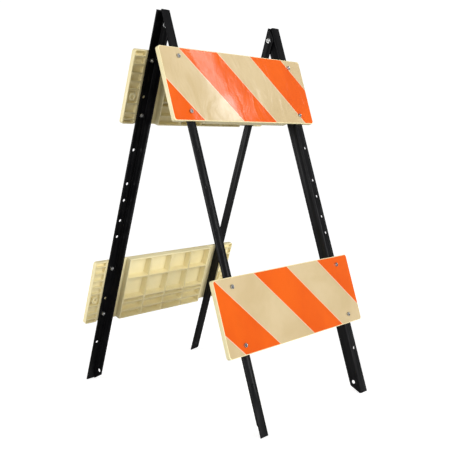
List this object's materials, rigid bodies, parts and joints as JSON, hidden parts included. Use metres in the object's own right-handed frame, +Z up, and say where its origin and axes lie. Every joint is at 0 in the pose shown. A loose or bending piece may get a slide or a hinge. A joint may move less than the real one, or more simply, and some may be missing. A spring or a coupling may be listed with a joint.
{
  "type": "folding traffic barricade",
  "caption": "Folding A-frame traffic barricade: hinged black angle-steel leg frames, each carrying two ribbed plastic boards with diagonal orange stripes.",
  "frame": {"origin": "centre of the footprint, on the ground, with the barricade open", "axes": "+Z up, +X along the boards to the right as seen from the front, +Y from the front frame to the rear frame"},
  "size_m": [0.6144, 0.7028, 1.0918],
  "materials": {
    "leg_steel": "satin black powder coat",
    "board_plastic": "moulded cream plastic",
    "reflective_sheeting": "glossy reflective film with diagonal orange and beige stripes",
    "zinc_hardware": "bright zinc plate"
  },
  "bodies": {
    "front_frame": {"front_left_leg": "leg_steel", "front_right_leg": "leg_steel", "front_upper_board": "board_plastic", "front_lower_board": "board_plastic", "front_upper_sheeting": "reflective_sheeting", "front_lower_sheeting": "reflective_sheeting", "front_upper_bolts": "zinc_hardware", "front_lower_bolts": "zinc_hardware", "front_upper_lock_washers": "zinc_hardware", "front_lower_lock_washers": "zinc_hardware", "front_upper_nuts": "zinc_hardware", "front_lower_nuts": "zinc_hardware", "left_hinge_bolt": "zinc_hardware", "right_hinge_bolt": "zinc_hardware", "left_hinge_washer": "zinc_hardware", "right_hinge_washer": "zinc_hardware", "left_hinge_nut": "zinc_hardware", "right_hinge_nut": "zinc_hardware"},
    "rear_frame": {"rear_left_leg": "leg_steel", "rear_right_leg": "leg_steel", "rear_upper_board": "board_plastic", "rear_lower_board": "board_plastic", "rear_upper_sheeting": "reflective_sheeting", "rear_lower_sheeting": "reflective_sheeting", "rear_upper_bolts": "zinc_hardware", "rear_lower_bolts": "zinc_hardware", "rear_upper_lock_washers": "zinc_hardware", "rear_lower_lock_washers": "zinc_hardware", "rear_upper_nuts": "zinc_hardware", "rear_lower_nuts": "zinc_hardware"}
  },
  "joints": [
    {"name": "fold", "type": "hinge", "parent": "front_frame", "child": "rear_frame", "pos_m": [0, 0, 1.05272], "axis": [-1, 0, 0], "range_deg": [-10.5, 35]}
  ]
}
